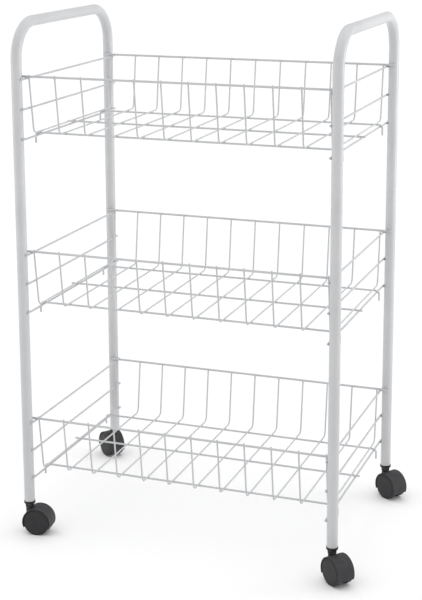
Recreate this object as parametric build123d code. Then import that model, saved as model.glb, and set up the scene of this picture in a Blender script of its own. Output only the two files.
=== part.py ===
from build123d import *
import os
from math import cos, radians, sqrt, tan

# Rolling utility cart: two end frames of bent steel tube, three wire baskets hooked between
# them, and four hooded twin-wheel casters. Millimetres, +Z up, front towards -Y.
# Origin: on the floor, midway between the four legs.

# End frames: each is one tube bent into an upside-down U, its legs one behind the other.
LEG_SPAN_X = 480.0  # left legs to right legs, centre to centre
LEG_SPAN_Y = 322.0  # front leg to back leg of one frame, centre to centre
TOP_Z = 788.0  # top of the bent tube
FOOT_Z = 51.0  # open lower ends of the tube
TUBE_D = 16.0
TUBE_WALL = 1.0
TUBE_BEND_R = 54.0  # to the tube's centre line

# Tiers: three side wires on each frame at each tier, and one basket.
TIER_Z = {"bottom": 178.0, "middle": 439.0, "top": 700.0}  # upper side wire of each tier
SIDE_WIRE_DROP = 44.0  # from one side wire to the next one down
WIRE_D = 3.0  # side wires and bottom wires
RIM_D = 3.4
END_PAST_LEG = 4.0  # side wires and rims run this far past the leg centres

# Baskets: two rims, twelve cross wires bent as shallow U shapes, three wires under them.
CROSS_WIRE_D = 2.4
CROSS_WIRE_COUNT = 12
CROSS_WIRE_PITCH = 41.2
CROSS_WIRE_BEND_R = 9.0
CROSS_WIRE_LEAN = 7.5  # degrees, the sides close in towards the bottom
CROSS_WIRE_TIP = 2.2  # the tips stand this far above the rim's centre
HOOK_WIRE_Y = 115.0  # front and back bottom wires, from the middle
HOOK_BEND_R = 6.0
HOOK_REACH = 4.5  # a hook hangs this far outside its side wire, centre to centre
HOOK_DROP = 16.0
MIDDLE_WIRE_PAST = 7.5  # the middle bottom wire ends this far outside the side wires
CONTACT_GAP = 0.02  # left between a hook and the wire that it rests on

# Casters: the wheel centre trails behind the stem, along +X before the caster is swivelled.
TRAIL = 13.8
WHEEL_R = 20.0
WHEEL_IN = 6.6  # inner face of a wheel, from the caster's middle plane
WHEEL_OUT = 14.1  # outer face
FACE_R = 16.6  # flat part of the outer face
WEB_T = 2.0
HUB_R = 5.5
HOOD_R = 22.3
HOOD_WALL = 1.4
HOOD_WIDTH = 27.8
HOOD_EDGE_Z = 11.7  # the hood's lower edge
RIDGE_H = 0.12  # low ridge over the middle of the hood
RIDGE_WIDTH = 5.0
CORE_WIDTH = 12.0  # body between the wheels
CORE_EDGE_Z = 10.2
CORE_WALL = 2.0
BOSS_TOP_Z = 44.4
BOSS_WAIST_R = 5.9
BOSS_COLLAR_R = 6.5
STEM_D = 9.0
STEM_END_Z = 24.5
STEM_IN_TUBE = 25.0
SHOULDER_D = 10.6
SHOULDER_T = 1.0
STEM_SNAP_Z = 30.0  # groove of the stem, rib of the hood's bore
GRIP_Z = 69.5  # middle of the grip ring
GRIP_H = 2.4
GRIP_R = 3.65
INSERT_LENGTH = 30.0
INSERT_CUP_D = 17.4
INSERT_CUP_H = 5.0
INSERT_CUP_ROUND = 2.6
INSERT_RIB_COUNT = 4
INSERT_RIB_H = 2.0
AXLE_D = 5.0
AXLE_LENGTH = 25.0
AXLE_SNAP_Y = 11.2  # groove of the axle, rib of the hub's bore
FIT = 0.05  # radial running clearance of stem and axle
SNAP_DEPTH = 0.3

SWIVEL = {  # side, depth and swivel angle of each caster as the cart stands
    "front_left": (-1, -1, 7.0),
    "front_right": (1, -1, -39.0),
    "back_right": (1, 1, -34.0),
    "back_left": (-1, 1, 141.0),
}

leg_x = LEG_SPAN_X / 2
leg_y = LEG_SPAN_Y / 2
tube_r = TUBE_D / 2
wire_r = WIRE_D / 2
rim_r = RIM_D / 2
cross_r = CROSS_WIRE_D / 2
side_wire_x = leg_x - tube_r - wire_r
rim_y = leg_y - tube_r - rim_r
rim_rise = wire_r + rim_r  # a rim's centre line above the side wire that it lies on


def wire(points, diameter, bend_radius=None):
    """A round wire along straight runs, its corners turned to one bend radius."""
    path = FilletPolyline(*points, radius=bend_radius) if bend_radius else Line(*points)
    section = Plane(origin=path @ 0, z_dir=path % 0) * Circle(diameter / 2)
    return sweep(section, path=path)


def turned(profile):
    """A solid of revolution about Z from (radius, height) points."""
    return revolve(Plane.XZ * make_face(Polyline(*profile, close=True)), axis=Axis.Z)


def upright(radius, low_z, high_z):
    """A cylinder about Z between two heights."""
    return Pos(0, 0, low_z) * Cylinder(
        radius, high_z - low_z, align=(Align.CENTER, Align.CENTER, Align.MIN)
    )


def crosswise(radius, width):
    """A cylinder on the wheels' axis, centred on the caster's middle plane."""
    return Pos(TRAIL, 0, WHEEL_R) * Rot(90, 0, 0) * Cylinder(radius, width)


def save(node, solids):
    """One STEP file for one node, with one solid or a group of separate ones."""
    shape = solids[0] if len(solids) == 1 else Compound(children=solids)
    export_step(shape, f"parts/{node}.step")


# End frames


def end_tube(side):
    """A hollow tube: up the front leg, over the top, down the back leg."""
    x, bar_z = side * leg_x, TOP_Z - tube_r
    points = [(x, -leg_y, FOOT_Z), (x, -leg_y, bar_z), (x, leg_y, bar_z), (x, leg_y, FOOT_Z)]
    path = FilletPolyline(*points, radius=TUBE_BEND_R)
    start = Plane(origin=path @ 0, z_dir=path % 0)
    section = Circle(tube_r) - Circle(tube_r - TUBE_WALL)
    return sweep(start * section, path=path)


def side_wires(side, tier_z):
    """Three straight wires welded to the inner side of a frame's two legs."""
    x, reach = side * side_wire_x, leg_y + END_PAST_LEG
    heights = [tier_z - row * SIDE_WIRE_DROP for row in range(3)]
    return [wire([(x, -reach, z), (x, reach, z)], WIRE_D) for z in heights]


# Baskets


def rim(depth, tier_z):
    """A straight wire on the upper side wires, along the inner side of the legs."""
    reach, y, z = leg_x + END_PAST_LEG, depth * rim_y, tier_z + rim_rise
    return wire([(-reach, y, z), (reach, y, z)], RIM_D)


def bottom_wire_z(tier_z):
    """Height of the bottom wires, whose hooks bend down over the lowest side wires."""
    bend_centre_to_side_wire = HOOK_BEND_R - WIRE_D - CONTACT_GAP
    sideways = HOOK_BEND_R - HOOK_REACH
    rise = HOOK_BEND_R - sqrt(bend_centre_to_side_wire**2 - sideways**2)
    return tier_z - 2 * SIDE_WIRE_DROP + rise


def cross_wires(tier_z):
    """The U-shaped wires: their tips stand inside the rims, their runs lie on the bottom wires."""
    rim_z = tier_z + rim_rise
    run_z = bottom_wire_z(tier_z) + wire_r + cross_r
    lean = tan(radians(CROSS_WIRE_LEAN))
    y_at_rim = rim_y - (rim_r + cross_r) / cos(radians(CROSS_WIRE_LEAN))
    tip_y = y_at_rim + lean * CROSS_WIRE_TIP
    corner_y = y_at_rim - lean * (rim_z - run_z)
    outline = [
        (-tip_y, rim_z + CROSS_WIRE_TIP),
        (-corner_y, run_z),
        (corner_y, run_z),
        (tip_y, rim_z + CROSS_WIRE_TIP),
    ]
    first_x = -(CROSS_WIRE_COUNT - 1) / 2 * CROSS_WIRE_PITCH
    places = [first_x + i * CROSS_WIRE_PITCH for i in range(CROSS_WIRE_COUNT)]
    return [wire([(x, y, z) for y, z in outline], CROSS_WIRE_D, CROSS_WIRE_BEND_R) for x in places]


def hook_wire(depth, tier_z):
    """A bottom wire whose ends turn down outside the lowest side wires."""
    x, y, z = side_wire_x + HOOK_REACH, depth * HOOK_WIRE_Y, bottom_wire_z(tier_z)
    points = [(-x, y, z - HOOK_DROP), (-x, y, z), (x, y, z), (x, y, z - HOOK_DROP)]
    return wire(points, WIRE_D, HOOK_BEND_R)


def middle_wire(tier_z):
    """The straight bottom wire between the two hook wires."""
    x, z = side_wire_x + MIDDLE_WIRE_PAST, bottom_wire_z(tier_z)
    return wire([(-x, 0, z), (x, 0, z)], WIRE_D)


# Casters, each about its stem axis with the wheels trailing along +X


def tube_insert():
    """A ribbed plastic bush pushed into the tube's end, with a rounded cup under the tube."""
    tube_bore_r = tube_r - TUBE_WALL
    barrel_r = tube_bore_r - 0.4
    rib_gap = INSERT_LENGTH / INSERT_RIB_COUNT
    cup = upright(INSERT_CUP_D / 2, FOOT_Z - INSERT_CUP_H, FOOT_Z)
    cup = fillet(cup.edges().group_by(Axis.Z)[0], INSERT_CUP_ROUND)
    insert = fillet(cup.edges().group_by(Axis.Z)[-1], 0.4)
    insert += upright(barrel_r, FOOT_Z, FOOT_Z + INSERT_LENGTH)
    for i in range(INSERT_RIB_COUNT):
        rib_z = FOOT_Z + (i + 0.3) * rib_gap
        insert += upright(tube_bore_r, rib_z, rib_z + INSERT_RIB_H)
    return insert - upright(STEM_D / 2 + FIT, 0, FOOT_Z + INSERT_LENGTH + 1)


def stem():
    """A turned steel pin with a shoulder, a groove for the grip ring and one for the hood."""
    r, top_z, under = STEM_D / 2, FOOT_Z + STEM_IN_TUBE, FOOT_Z - INSERT_CUP_H
    snap_r = r - SNAP_DEPTH
    return turned([
        (0, STEM_END_Z),
        (r - 1, STEM_END_Z),
        (r, STEM_END_Z + 1),
        (r, STEM_SNAP_Z - 1),
        (snap_r, STEM_SNAP_Z - 0.7),
        (snap_r, STEM_SNAP_Z + 0.7),
        (r, STEM_SNAP_Z + 1),
        (r, under - SHOULDER_T),
        (SHOULDER_D / 2, under - SHOULDER_T),
        (SHOULDER_D / 2, under),
        (r, under),
        (r, GRIP_Z - GRIP_H / 2 - 0.1),
        (GRIP_R, GRIP_Z - GRIP_H / 2 - 0.1),
        (GRIP_R, GRIP_Z + GRIP_H / 2 + 0.1),
        (r, GRIP_Z + GRIP_H / 2 + 0.1),
        (r, top_z - 1.5),
        (r - 1.2, top_z),
        (0, top_z),
    ])


def grip_ring():
    """A split spring ring in the stem's upper groove that holds the stem in its insert."""
    low_z, high_z = GRIP_Z - GRIP_H / 2, GRIP_Z + GRIP_H / 2
    ring = upright(STEM_D / 2 + FIT, low_z, high_z) - upright(GRIP_R, low_z, high_z)
    return ring - Pos(STEM_D / 2, 0, GRIP_Z) * Box(STEM_D, 1.2, 2 * GRIP_H)


def below(z):
    """A block that takes away everything under one height."""
    size = 4 * HOOD_R
    return Pos(TRAIL, 0, z - size / 2) * Box(size, size, size)


def boss():
    """The neck round the stem: a slightly wider collar over a waist."""
    return turned([
        (0, WHEEL_R),
        (BOSS_WAIST_R, WHEEL_R),
        (BOSS_WAIST_R, BOSS_TOP_Z - 3.6),
        (BOSS_COLLAR_R, BOSS_TOP_Z - 2.6),
        (BOSS_COLLAR_R, BOSS_TOP_Z - 0.8),
        (BOSS_COLLAR_R - 0.25, BOSS_TOP_Z - 0.25),
        (BOSS_COLLAR_R - 0.8, BOSS_TOP_Z),
        (0, BOSS_TOP_Z),
    ])


def stem_bore():
    """The space that the hood leaves for the stem, with a snap rib."""
    bore_r = STEM_D / 2 + FIT
    rib_r = bore_r - SNAP_DEPTH
    return turned([
        (0, STEM_END_Z - 0.3),
        (bore_r, STEM_END_Z - 0.3),
        (bore_r, STEM_SNAP_Z - 0.6),
        (rib_r, STEM_SNAP_Z - 0.4),
        (rib_r, STEM_SNAP_Z + 0.4),
        (bore_r, STEM_SNAP_Z + 0.6),
        (bore_r, BOSS_TOP_Z + 1),
        (0, BOSS_TOP_Z + 1),
    ])


def hood():
    """The moulded housing: a roof over both wheels and a core with the stem and axle bores."""
    ridge = crosswise(HOOD_R + RIDGE_H, RIDGE_WIDTH)
    roof = fillet(crosswise(HOOD_R, HOOD_WIDTH).edges(), 0.35) + ridge
    roof -= crosswise(HOOD_R - HOOD_WALL, HOOD_WIDTH + 1)
    core = crosswise(HOOD_R - HOOD_WALL / 2, CORE_WIDTH)
    pocket = crosswise(HOOD_R - HOOD_WALL - CORE_WALL, CORE_WIDTH - 2 * CORE_WALL)
    pocket &= Pos(TRAIL + AXLE_D + HOOD_R / 2, 0, HOOD_R) * Box(HOOD_R, HOOD_R, 2 * HOOD_R)
    body = (roof - below(HOOD_EDGE_Z)) + (core - below(CORE_EDGE_Z)) + boss()
    return body - pocket - stem_bore() - crosswise(AXLE_D / 2, HOOD_WIDTH)


def axle():
    """A steel pin pressed through the core, with a groove for each wheel."""
    r, half = AXLE_D / 2, AXLE_LENGTH / 2
    groove_r = r - SNAP_DEPTH
    profile = [(0, -half), (r - 0.5, -half), (r, 0.5 - half)]
    for y in (-AXLE_SNAP_Y, AXLE_SNAP_Y):
        profile += [(r, y - 0.6), (groove_r, y - 0.4), (groove_r, y + 0.4), (r, y + 0.6)]
    profile += [(r, half - 0.5), (r - 0.5, half), (0, half)]
    return Pos(TRAIL, 0, WHEEL_R) * Rot(-90, 0, 0) * turned(profile)


def wheel(side):
    """A dished plastic wheel: closed outer face with a bevelled edge, rim, and hub with a snap rib."""
    bore_r, rim_in_r = AXLE_D / 2 + FIT, WHEEL_R - 2.2
    rib_r, web_in, axle_end = bore_r - SNAP_DEPTH + FIT, WHEEL_OUT - WEB_T, AXLE_LENGTH / 2 + 0.3
    profile = [
        (bore_r, WHEEL_IN),
        (HUB_R, WHEEL_IN),
        (HUB_R, web_in - 0.4),
        (rim_in_r, web_in - 0.4),
        (rim_in_r, WHEEL_IN),
        (WHEEL_R - 0.9, WHEEL_IN),
        (WHEEL_R - 0.25, WHEEL_IN + 0.25),
        (WHEEL_R, WHEEL_IN + 0.9),
        (WHEEL_R, WHEEL_OUT - 1.4),
        (WHEEL_R - 0.25, WHEEL_OUT - 0.8),
        (WHEEL_R - 0.8, WHEEL_OUT - 0.6),
        (FACE_R + 0.7, WHEEL_OUT - 0.6),
        (FACE_R, WHEEL_OUT),
        (0, WHEEL_OUT + 0.2),
        (0, axle_end),
        (bore_r, axle_end),
        (bore_r, AXLE_SNAP_Y + 0.5),
        (rib_r, AXLE_SNAP_Y + 0.3),
        (rib_r, AXLE_SNAP_Y - 0.3),
        (bore_r, AXLE_SNAP_Y - 0.5),
    ]
    return Pos(TRAIL, 0, WHEEL_R) * Rot(-90 * side, 0, 0) * turned(profile)


CASTER_PIECES = {
    "insert": tube_insert(),
    "stem": stem(),
    "grip_ring": grip_ring(),
    "hood": hood(),
    "axle": axle(),
    "right_wheel": wheel(-1),
    "left_wheel": wheel(1),
}


def build():
    """Makes every sub-part and writes its STEP file."""
    os.makedirs("parts", exist_ok=True)
    for name, side in (("left", -1), ("right", 1)):
        save(f"{name}_end_tube", [end_tube(side)])
        for tier, tier_z in TIER_Z.items():
            save(f"{name}_{tier}_side_wires", side_wires(side, tier_z))
    for tier, tier_z in TIER_Z.items():
        save(f"{tier}_basket_cross_wires", cross_wires(tier_z))
        save(f"{tier}_basket_middle_wire", [middle_wire(tier_z)])
        for name, depth in (("front", -1), ("back", 1)):
            save(f"{tier}_basket_{name}_rim", [rim(depth, tier_z)])
            save(f"{tier}_basket_{name}_hook_wire", [hook_wire(depth, tier_z)])
    for corner, (side, depth, angle) in SWIVEL.items():
        place = Pos(side * leg_x, depth * leg_y, 0) * Rot(0, 0, angle)
        for piece, solid in CASTER_PIECES.items():
            save(f"{corner}_caster_{piece}", [place * solid])


build()
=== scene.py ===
import math
import random

import bmesh
import bpy
from mathutils import Matrix, Vector


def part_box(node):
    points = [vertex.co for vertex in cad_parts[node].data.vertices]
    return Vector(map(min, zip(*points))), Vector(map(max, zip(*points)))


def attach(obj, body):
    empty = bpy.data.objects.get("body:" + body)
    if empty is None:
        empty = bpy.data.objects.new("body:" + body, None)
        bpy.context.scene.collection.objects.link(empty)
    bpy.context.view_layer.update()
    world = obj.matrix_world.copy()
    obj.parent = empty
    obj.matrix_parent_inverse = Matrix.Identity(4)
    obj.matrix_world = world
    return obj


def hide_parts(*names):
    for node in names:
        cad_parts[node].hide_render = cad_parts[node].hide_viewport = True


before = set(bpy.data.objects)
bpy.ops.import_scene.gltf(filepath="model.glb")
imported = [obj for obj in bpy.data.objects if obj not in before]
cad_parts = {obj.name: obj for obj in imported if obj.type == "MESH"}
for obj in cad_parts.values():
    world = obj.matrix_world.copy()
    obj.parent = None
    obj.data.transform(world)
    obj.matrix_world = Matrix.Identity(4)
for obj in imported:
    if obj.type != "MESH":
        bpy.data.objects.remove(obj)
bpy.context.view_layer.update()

# Rolling utility cart. The casters are the CAD's own shapes with new finishes. The bent tubes and
# the wires are rebuilt here with softened cut ends and weld metal, where the CAD boxes say they are.
# Lengths are in metres: MM turns the sizes named below, in millimetres, into them.
MM = 0.001

# What a node's box doesn't say about the tubes and wires
TUBE_WALL = 1.0 * MM
TUBE_BEND_R = 54.0 * MM
CROSS_WIRE_R = 1.2 * MM
CROSS_WIRE_BEND_R = 9.0 * MM
CROSS_WIRE_LEAN = math.radians(7.5)
CROSS_WIRE_COUNT = 12
HOOK_BEND_R = 6.0 * MM
SIDE_WIRES_PER_TIER = 3

# How finely round things are drawn
TUBE_SIDES = 48
WIRE_SIDES = 16
ARC_STEP = math.radians(6)
CUT_STEPS = 4
CREASE = math.radians(40)  # an edge that turns more than this is shaded as an edge

# Cut ends, softened under the powder: of sheared wire, and of the sawn tube
WIRE_CUT_ROUND = 0.6 * MM
TUBE_CUT_ROUND = 0.4 * MM

# Weld metal under the powder. A wobble is how deep the random dents are, as a share of the size.
NUGGET_SIZE = (1.9 * MM, 1.9 * MM, 0.9 * MM)  # half sizes: along each wire, and from wire to wire
NUGGET_WOBBLE = 0.05
BEAD_BLOBS = 5
BEAD_HALF_LENGTH = 3.6 * MM
BEAD_HALF_WIDTH = 0.85 * MM
BEAD_WIDTH_RANGE = (0.85, 1.05)
BEAD_STRETCH = 1.6  # a blob's length along the seam, over its width
BEAD_STRAY = 0.2 * MM
BEAD_WOBBLE = 0.03
# where a bead lies on its side wire, as shares of the wire's radius: towards the leg, and up or down
BEAD_INWARD = 0.75
BEAD_UPWARD = 0.85
BLOB_SEGMENTS = 12
BLOB_RINGS = 7
BLOB_DENTS = 3
BLOB_DENT_FINENESS = 3

TIERS = ("bottom", "middle", "top")
SIDES = {"left": -1, "right": 1}
DEPTHS = {"front": -1, "back": 1}

chance = random.Random(7)


# Materials


def srgb(hex_colour):
    """Linear RGBA from an sRGB hex colour."""
    values = [int(hex_colour[i:i + 2], 16) / 255 for i in (1, 3, 5)]
    linear = [v / 12.92 if v <= 0.04045 else ((v + 0.055) / 1.055) ** 2.4 for v in values]
    return (*linear, 1.0)


def per_metre(size_mm):
    """Noise scale whose features are about this many millimetres across."""
    return 1 / (size_mm * MM)


def wave_scale(pitch_mm):
    """Scale of a wave texture whose bands are this many millimetres apart."""
    radians_per_unit = 20
    return 2 * math.pi / (radians_per_unit * pitch_mm * MM)


def add(tree, kind, inputs=(), **settings):
    """Adds one shader node. An input is a value, or another node's output to link to it."""
    node = tree.nodes.new("ShaderNode" + kind)
    for key, value in settings.items():
        setattr(node, key, value)
    for key, value in dict(inputs).items():
        if isinstance(value, bpy.types.NodeSocket):
            tree.links.new(value, node.inputs[key])
        else:
            node.inputs[key].default_value = value
    return node


def new_material(name):
    """A material with its shader and output, and the object's own coordinates to paint by."""
    material = bpy.data.materials.new(name)
    material.use_nodes = True
    tree = material.node_tree
    tree.nodes.clear()
    shader = add(tree, "BsdfPrincipled")
    add(tree, "OutputMaterial", {"Surface": shader.outputs["BSDF"]})
    place = add(tree, "TexCoord").outputs["Object"]
    return material, tree, shader, place


def paint_between(tree, pattern, dark, light, low, high):
    """Two sRGB colours, the dark one where the pattern is under low and the light one over high."""
    ramp = add(tree, "ValToRGB", {"Fac": pattern})
    for stop, position, colour in zip(ramp.color_ramp.elements, (low, high), (dark, light)):
        stop.position = position
        stop.color = srgb(colour)
    return ramp.outputs["Color"]


def powder_coated_steel(name, dark, light):
    """White polyester powder baked on steel: satin, faintly dimpled, a little uneven in tone."""
    material, tree, shader, place = new_material(name)
    cloud = add(tree, "TexNoise", {"Vector": place, "Scale": per_metre(45), "Detail": 3.0})
    tone = paint_between(tree, cloud.outputs["Fac"], dark, light, 0.3, 0.7)
    # orange peel is 1 to 3 mm across and a few microns deep
    peel = add(tree, "TexNoise", {"Vector": place, "Scale": per_metre(2.2), "Detail": 1.5})
    depth = 0.04 * MM
    dimples = add(tree, "Bump", {"Height": peel.outputs["Fac"], "Strength": 0.35, "Distance": depth})
    gloss = add(tree, "MapRange", {"Value": peel.outputs["Fac"], "To Min": 0.28, "To Max": 0.36})
    tree.links.new(tone, shader.inputs["Base Color"])
    tree.links.new(gloss.outputs["Result"], shader.inputs["Roughness"])
    tree.links.new(dimples.outputs["Normal"], shader.inputs["Normal"])
    shader.inputs["IOR"].default_value = 1.5
    shader.inputs["Specular IOR Level"].default_value = 0.4
    return material


def moulded_plastic(name, dark, light, grain_mm, grain_depth_mm, gloss_low, gloss_high):
    """Injection-moulded plastic: even colour, a faint flow cloud and the mould's grain.

    The two glosses are roughnesses: of the grain's low places and of its high places.
    """
    material, tree, shader, place = new_material(name)
    cloud = add(tree, "TexNoise", {"Vector": place, "Scale": per_metre(9), "Detail": 2.0})
    tone = paint_between(tree, cloud.outputs["Fac"], dark, light, 0.35, 0.65)
    grain = add(tree, "TexNoise", {"Vector": place, "Scale": per_metre(grain_mm), "Detail": 2.0})
    depth = grain_depth_mm * MM
    pits = add(tree, "Bump", {"Height": grain.outputs["Fac"], "Strength": 0.5, "Distance": depth})
    limits = {"To Min": gloss_low, "To Max": gloss_high}
    gloss = add(tree, "MapRange", {"Value": grain.outputs["Fac"], **limits})
    tree.links.new(tone, shader.inputs["Base Color"])
    tree.links.new(gloss.outputs["Result"], shader.inputs["Roughness"])
    tree.links.new(pits.outputs["Normal"], shader.inputs["Normal"])
    shader.inputs["IOR"].default_value = 1.53
    shader.inputs["Specular IOR Level"].default_value = 0.25
    return material


def turned_zinc_plated_steel():
    """Zinc over a turned upright pin: grey and dull-bright, with faint rings from the tool."""
    material, tree, shader, place = new_material("turned_zinc_plated_steel")
    # feed marks of 0.5 mm, coarser than the tool's own so that they show
    spacing = {"Vector": place, "Scale": wave_scale(0.5), "Distortion": 0.6}
    rings = add(tree, "TexWave", spacing, bands_direction="Z")
    marks = add(tree, "Bump", {"Height": rings.outputs["Fac"], "Strength": 0.1, "Distance": 0.01 * MM})
    cloud = add(tree, "TexNoise", {"Vector": place, "Scale": per_metre(2), "Detail": 3.0})
    gloss = add(tree, "MapRange", {"Value": cloud.outputs["Fac"], "To Min": 0.25, "To Max": 0.42})
    tone = paint_between(tree, cloud.outputs["Fac"], "#8d8f91", "#a9abac", 0.35, 0.65)
    tree.links.new(tone, shader.inputs["Base Color"])
    tree.links.new(gloss.outputs["Result"], shader.inputs["Roughness"])
    tree.links.new(marks.outputs["Normal"], shader.inputs["Normal"])
    shader.inputs["Metallic"].default_value = 1.0
    return material


TUBE_POWDER = powder_coated_steel("satin_white_powder_coat_on_tube", "#bfc0c2", "#c5c6c8")
# the same powder on the thin wires and their welds, as a darker copy of the tube's: its lower tone is
# painted shade, so that the wires read a shade greyer than the tubes
WIRE_POWDER_WITH_PAINTED_SHADE = powder_coated_steel("satin_white_powder_coat_on_wire_with_painted_shade", "#babbbd", "#c0c1c3")
# the mould's grain breaks up the light on the hoods; the wheels are smoother, so a little shinier
HOOD_NYLON = moulded_plastic(
    "moulded_black_nylon_fine_grain", "#343436", "#39393b",
    grain_mm=0.6, grain_depth_mm=0.03, gloss_low=0.52, gloss_high=0.62,
)
WHEEL_NYLON = moulded_plastic(
    "moulded_black_nylon_smooth", "#28282a", "#2c2c2e",
    grain_mm=1.2, grain_depth_mm=0.01, gloss_low=0.44, gloss_high=0.52,
)
# waxier and shinier than nylon
INSERT_PLASTIC = moulded_plastic(
    "moulded_black_polypropylene", "#1e1e20", "#242426",
    grain_mm=0.9, grain_depth_mm=0.015, gloss_low=0.3, gloss_high=0.4,
)
ZINC = turned_zinc_plated_steel()


# Swept wires and tubes


def route(corners, bend_r=0.0):
    """Centre line of a bent wire: straight runs, with an arc at each inner corner."""
    points = [corners[0]]
    for before, corner, after in zip(corners, corners[1:], corners[2:]):
        back, ahead = (before - corner).normalized(), (after - corner).normalized()
        half = back.angle(ahead) / 2
        centre = corner + (back + ahead).normalized() * (bend_r / math.sin(half))
        arm = corner + back * (bend_r / math.tan(half)) - centre
        turn, axis = math.pi - 2 * half, ahead.cross(back)
        steps = math.ceil(turn / ARC_STEP)
        rotations = [Matrix.Rotation(turn * i / steps, 3, axis) for i in range(steps + 1)]
        points += [centre + rotation @ arm for rotation in rotations]
    return points + [corners[-1]]


def directions(points):
    """The way that a centre line goes at each of its points."""
    runs = [(after - before).normalized() for before, after in zip(points, points[1:])]
    turns = [(run + following).normalized() for run, following in zip(runs, runs[1:])]
    return [runs[0], *turns, runs[-1]]


def cut_end(radius, rounding):
    """(distance in from a cut end, radius there) from the end's face up to the full radius."""
    angles = [math.pi / 2 * i / CUT_STEPS for i in range(CUT_STEPS, -1, -1)]
    return [(rounding * (1 - math.sin(a)), radius - rounding * (1 - math.cos(a))) for a in angles]


def stations(points, radius, rounding):
    """(centre, direction, radius) along a centre line, with both cut ends rounded."""
    ways = directions(points)
    ends = cut_end(radius, rounding)
    first = [(points[0] + ways[0] * inset, ways[0], r) for inset, r in ends]
    last = [(points[-1] - ways[-1] * inset, ways[-1], r) for inset, r in reversed(ends)]
    return first + [(point, way, radius) for point, way in zip(points[1:-1], ways[1:-1])] + last


def skin(bm, rings_at, side, sides, closed):
    """Skins round rings in a row. side is the level direction that every ring shares."""
    rings = []
    for centre, way, radius in rings_at:
        up = way.cross(side)
        turns = [2 * math.pi * i / sides for i in range(sides)]
        spokes = [side * (radius * math.cos(a)) + up * (radius * math.sin(a)) for a in turns]
        rings.append([bm.verts.new(centre + spoke) for spoke in spokes])
    pairs = list(zip(rings, rings[1:]))
    if closed:
        bm.faces.new(reversed(rings[0]))
        bm.faces.new(rings[-1])
    else:
        pairs.append((rings[-1], rings[0]))
    for ring, following in pairs:
        for i in range(sides):
            j = (i + 1) % sides
            bm.faces.new((ring[i], ring[j], following[j], following[i]))


def draw_wire(bm, corners, side, radius, bend_r=0.0):
    """One solid round wire, its sheared ends softened."""
    skin(bm, stations(route(corners, bend_r), radius, WIRE_CUT_ROUND), side, WIRE_SIDES, closed=True)


def finish_piece(bm, name, material, slot_name, *nodes):
    """Turns a bmesh into a piece of the cart that stands for these CAD nodes."""
    mesh = bpy.data.meshes.new(name)
    bm.to_mesh(mesh)
    bm.free()
    mesh.materials.append(material)
    mesh.shade_smooth()
    mesh.set_sharp_from_angle(angle=CREASE)
    piece = bpy.data.objects.new(name, mesh)
    bpy.context.scene.collection.objects.link(piece)
    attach(piece, "cart")
    if nodes:
        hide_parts(*nodes)


ACROSS_X = Vector((1, 0, 0))
ACROSS_Y = Vector((0, 1, 0))


def middle(node):
    """Centre of a CAD node's box, and half its sizes."""
    low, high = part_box(node)
    return (low + high) / 2, (high - low) / 2


def bent_tube(side):
    """An end frame's tube: up one leg, over the top and down the other, open at both ends."""
    node = f"{side}_end_tube"
    centre, half = middle(node)
    r, x = half.x, centre.x
    foot, bar = centre.z - half.z, centre.z + half.z - r
    leg = half.y - r
    outline = ((-leg, foot), (-leg, bar), (leg, bar), (leg, foot))
    line = route([Vector((x, y, z)) for y, z in outline], TUBE_BEND_R)
    outside = stations(line, r, TUBE_CUT_ROUND)
    inside = [(point, way, r - TUBE_WALL) for point, way in zip(line, directions(line))]
    bm = bmesh.new()
    skin(bm, outside + inside[::-1], ACROSS_X, TUBE_SIDES, closed=False)
    finish_piece(bm, f"{side}_bent_tube", TUBE_POWDER, "coated_tube", node)


def side_wire_heights(node):
    """Heights of a tier's side wires, from the lowest up."""
    centre, half = middle(node)
    reach = half.z - half.x
    steps = range(SIDE_WIRES_PER_TIER)
    return [centre.z - reach + 2 * reach * i / (SIDE_WIRES_PER_TIER - 1) for i in steps]


def side_wires(side, tier):
    """The straight wires across one end frame at one tier."""
    node = f"{side}_{tier}_side_wires"
    centre, half = middle(node)
    bm = bmesh.new()
    for z in side_wire_heights(node):
        ends = [Vector((centre.x, y, z)) for y in (-half.y, half.y)]
        draw_wire(bm, ends, ACROSS_X, half.x)
    finish_piece(bm, f"{side}_{tier}_guard_wires", WIRE_POWDER_WITH_PAINTED_SHADE, "coated_wire", node)


def straight_wire(node, name):
    """A straight wire from left to right."""
    centre, half = middle(node)
    bm = bmesh.new()
    draw_wire(bm, [centre - ACROSS_X * half.x, centre + ACROSS_X * half.x], ACROSS_Y, half.y)
    finish_piece(bm, name, WIRE_POWDER_WITH_PAINTED_SHADE, "coated_wire", node)


def hook_wire(depth, tier):
    """A bottom wire whose two ends turn down into hooks."""
    node = f"{tier}_basket_{depth}_hook_wire"
    centre, half = middle(node)
    r = half.y
    low, run, x = centre.z - half.z, centre.z + half.z - r, half.x - r
    corners = [Vector((u, centre.y, z)) for u, z in ((-x, low), (-x, run), (x, run), (x, low))]
    bm = bmesh.new()
    draw_wire(bm, corners, ACROSS_Y, r, HOOK_BEND_R)
    finish_piece(bm, f"{tier}_basket_{depth}_hooked_wire", WIRE_POWDER_WITH_PAINTED_SHADE, "coated_wire", node)


def cross_wire_places(tier):
    """x of each cross wire, and the (y, z) corners that they share."""
    centre, half = middle(f"{tier}_basket_cross_wires")
    r, lean = CROSS_WIRE_R, CROSS_WIRE_LEAN
    run = centre.z - half.z + r
    tip_y, tip_z = half.y - r * math.cos(lean), centre.z + half.z - r * math.sin(lean)
    corner_y = tip_y - math.tan(lean) * (tip_z - run)
    outline = [(-tip_y, tip_z), (-corner_y, run), (corner_y, run), (tip_y, tip_z)]
    reach = half.x - r
    places = [2 * reach * i / (CROSS_WIRE_COUNT - 1) - reach for i in range(CROSS_WIRE_COUNT)]
    return places, outline


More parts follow.
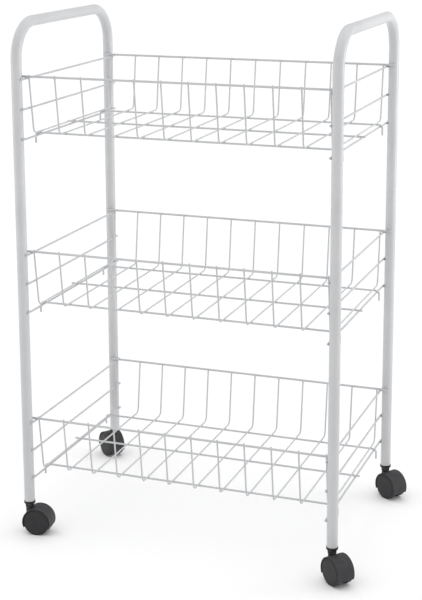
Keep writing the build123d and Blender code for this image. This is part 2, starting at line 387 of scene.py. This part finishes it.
def cross_wires(tier):
    """The U-shaped wires that make a basket's floor, front and back."""
    places, outline = cross_wire_places(tier)
    bm = bmesh.new()
    for x in places:
        corners = [Vector((x, y, z)) for y, z in outline]
        draw_wire(bm, corners, ACROSS_X, CROSS_WIRE_R, CROSS_WIRE_BEND_R)
    finish_piece(bm, f"{tier}_basket_u_wires", WIRE_POWDER_WITH_PAINTED_SHADE, "coated_wire", f"{tier}_basket_cross_wires")


# Welds


def blob(bm, centre, axes, wobble):
    """A rounded lump of weld metal: an ellipsoid on three half axes, with soft random dents."""
    ways = [Vector([chance.uniform(-1, 1) for _ in range(3)]) for _ in range(BLOB_DENTS)]
    dents = [way * BLOB_DENT_FINENESS for way in ways]

    def point(lift, turn):
        across = math.cos(lift)
        way = Vector((across * math.cos(turn), across * math.sin(turn), math.sin(lift)))
        swell = 1 + wobble * sum(math.sin(way.dot(dent)) for dent in dents)
        return centre + sum((axis * part for axis, part in zip(axes, way)), Vector()) * swell

    lifts = [math.pi * (i + 1) / (BLOB_RINGS + 1) - math.pi / 2 for i in range(BLOB_RINGS)]
    turns = [2 * math.pi * i / BLOB_SEGMENTS for i in range(BLOB_SEGMENTS)]
    rings = [[bm.verts.new(point(lift, turn)) for turn in turns] for lift in lifts]
    ends = [bm.verts.new(point(lift, 0)) for lift in (-math.pi / 2, math.pi / 2)]
    for i in range(BLOB_SEGMENTS):
        j = (i + 1) % BLOB_SEGMENTS
        bm.faces.new((ends[0], rings[0][j], rings[0][i]))
        bm.faces.new((ends[1], rings[-1][i], rings[-1][j]))
        for ring, following in zip(rings, rings[1:]):
            bm.faces.new((ring[i], ring[j], following[j], following[i]))


def nugget(bm, centre, lean=0.0):
    """The lump where two crossing wires were pressed and fused. lean tips it about the X axis."""
    along, across, through = NUGGET_SIZE
    tip = Matrix.Rotation(lean, 3, "X")
    axes = [tip @ Vector(v) for v in ((along, 0, 0), (0, across, 0), (0, 0, through))]
    blob(bm, centre, axes, NUGGET_WOBBLE)


def basket_welds(tier):
    """Resistance welds of a basket: each cross wire on both rims and on the three bottom wires."""
    places, outline = cross_wire_places(tier)
    run = outline[1][1]
    bottom_wires = [f"{tier}_basket_{name}_wire" for name in ("front_hook", "middle", "back_hook")]
    bm = bmesh.new()
    for x in places:
        for node in bottom_wires:
            nugget(bm, Vector((x, middle(node)[0].y, run - CROSS_WIRE_R)))
        for depth, way in DEPTHS.items():
            rim, half = middle(f"{tier}_basket_{depth}_rim")
            tilt = -way * (math.pi / 2 - CROSS_WIRE_LEAN)
            inward = Vector((0, -way * math.cos(CROSS_WIRE_LEAN), math.sin(CROSS_WIRE_LEAN)))
            nugget(bm, Vector((x, rim.y, rim.z)) + inward * half.y, tilt)
    finish_piece(bm, f"{tier}_basket_weld_nuggets", WIRE_POWDER_WITH_PAINTED_SHADE, "coated_wire")


def bead(bm, seam):
    """A row of blobs along Y that runs together into one fillet, centred at this point of the seam."""
    for i in range(BEAD_BLOBS):
        slide = (2 * i / (BEAD_BLOBS - 1) - 1) * (BEAD_HALF_LENGTH - BEAD_HALF_WIDTH)
        r = BEAD_HALF_WIDTH * chance.uniform(*BEAD_WIDTH_RANGE)
        y = seam.y + slide + chance.uniform(-BEAD_STRAY, BEAD_STRAY)
        axes = [Vector((r, 0, 0)), Vector((0, BEAD_STRETCH * r, 0)), Vector((0, 0, r))]
        blob(bm, Vector((seam.x, y, seam.z)), axes, BEAD_WOBBLE)


def frame_welds(side):
    """Fillet welds of an end frame: a bead over and under each side wire on each leg."""
    _, tube_half = middle(f"{side}_end_tube")
    leg = tube_half.y - tube_half.x
    bm = bmesh.new()
    for tier in TIERS:
        node = f"{side}_{tier}_side_wires"
        wire, wire_half = middle(node)
        seam_x = wire.x + SIDES[side] * wire_half.x * BEAD_INWARD
        for z in side_wire_heights(node):
            for way in DEPTHS.values():
                for over in (-1, 1):
                    bead(bm, Vector((seam_x, way * leg, z + over * wire_half.x * BEAD_UPWARD)))
    finish_piece(bm, f"{side}_frame_weld_beads", TUBE_POWDER, "coated_tube")


for side in SIDES:
    bent_tube(side)
    frame_welds(side)
    for tier in TIERS:
        side_wires(side, tier)
for tier in TIERS:
    cross_wires(tier)
    basket_welds(tier)
    straight_wire(f"{tier}_basket_middle_wire", f"{tier}_basket_straight_wire")
    for depth in DEPTHS:
        straight_wire(f"{tier}_basket_{depth}_rim", f"{tier}_basket_{depth}_rim_wire")
        hook_wire(depth, tier)


# Casters


def dress(node, material):
    """Puts one material over a CAD node."""
    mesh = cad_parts[node].data
    mesh.materials.clear()
    mesh.materials.append(material)


CASTER_FINISHES = {
    "insert": INSERT_PLASTIC,
    "stem": ZINC,
    "grip_ring": ZINC,
    "hood": HOOD_NYLON,
    "axle": ZINC,
    "left_wheel": WHEEL_NYLON,
    "right_wheel": WHEEL_NYLON,
}

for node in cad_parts:
    _, caster, piece = node.partition("_caster_")
    if caster:
        dress(node, CASTER_FINISHES[piece])


# Floor, light and camera


def floor():
    """A wide white board, fully matt, so that no lamp is mirrored in it."""
    material, _, shader, _ = new_material("matt_white_painted_board")
    shader.inputs["Base Color"].default_value = srgb("#f8f8f8")
    shader.inputs["Roughness"].default_value = 1.0
    shader.inputs["Specular IOR Level"].default_value = 0.0
    half = 30.0
    corners = [(x * half, y * half, 0) for x, y in ((-1, -1), (1, -1), (1, 1), (-1, 1))]
    mesh = bpy.data.meshes.new("studio_floor")
    mesh.from_pydata(corners, [], [(0, 1, 2, 3)])
    mesh.materials.append(material)
    board = bpy.data.objects.new("studio_floor", mesh)
    bpy.context.scene.collection.objects.link(board)


def lamp(kind, name, place, target, strength, **settings):
    """A light that faces a point."""
    light = bpy.data.lights.new(name, kind)
    light.energy = strength
    for key, value in settings.items():
        setattr(light, key, value)
    holder = bpy.data.objects.new(name, light)
    holder.location = place
    holder.rotation_euler = (Vector(target) - Vector(place)).to_track_quat("-Z", "Y").to_euler()
    bpy.context.scene.collection.objects.link(holder)


def surroundings(horizon, overhead):
    """White light from all round, brightest in a low band so that the floor has no visible end."""
    world = bpy.data.worlds.new("white_tent")
    world.use_nodes = True
    tree = world.node_tree
    background = tree.nodes["Background"]
    background.inputs["Color"].default_value = (1, 1, 1, 1)
    way = add(tree, "SeparateXYZ", {"Vector": add(tree, "TexCoord").outputs["Generated"]})
    # the sine of the height above the horizon where the band starts to fade and where it ends
    band = {"From Min": 0.15, "From Max": 0.35, "To Min": horizon, "To Max": overhead}
    fade = add(tree, "MapRange", {"Value": way.outputs["Z"], **band})
    tree.links.new(fade.outputs["Result"], background.inputs["Strength"])
    bpy.context.scene.world = world


def camera(place, yaw, pitch, roll, lens, shift_y):
    """A camera turned by yaw from +Y towards -X, then by pitch, then by roll. Angles in degrees."""
    data = bpy.data.cameras.new("camera")
    data.sensor_width, data.lens, data.shift_y = 36, lens, shift_y
    body = bpy.data.objects.new("camera", data)
    turn = (
        Matrix.Rotation(math.radians(yaw), 4, "Z")
        @ Matrix.Rotation(math.radians(90 + pitch), 4, "X")
        @ Matrix.Rotation(math.radians(roll), 4, "Z")
    )
    body.matrix_world = Matrix.Translation(place) @ turn
    bpy.context.scene.collection.objects.link(body)
    bpy.context.scene.camera = body


floor()
surroundings(horizon=1.0, overhead=0.55)
lamp("SUN", "overhead_silk", (0, 0, 3), (0, 0, 0), strength=1.65, angle=math.radians(100))
# two tall softboxes draw the soft streaks on the tubes; their spread keeps them off the near floor
softbox = {"shape": "RECTANGLE", "size": 0.5, "size_y": 1.0, "spread": math.radians(50)}
cart_middle = (0, 0, 0.6)
lamp("AREA", "left_softbox", (-1.4, -0.5, 0.65), cart_middle, strength=0.35, **softbox)
lamp("AREA", "right_softbox", (1.4, 0.6, 0.65), cart_middle, strength=1.1, **softbox)
camera((0.7488, -2.0309, 0.9661), yaw=20.26, pitch=-11.69, roll=-0.25, lens=87.52, shift_y=-0.18)
bpy.context.scene.view_settings.view_transform = "Standard"
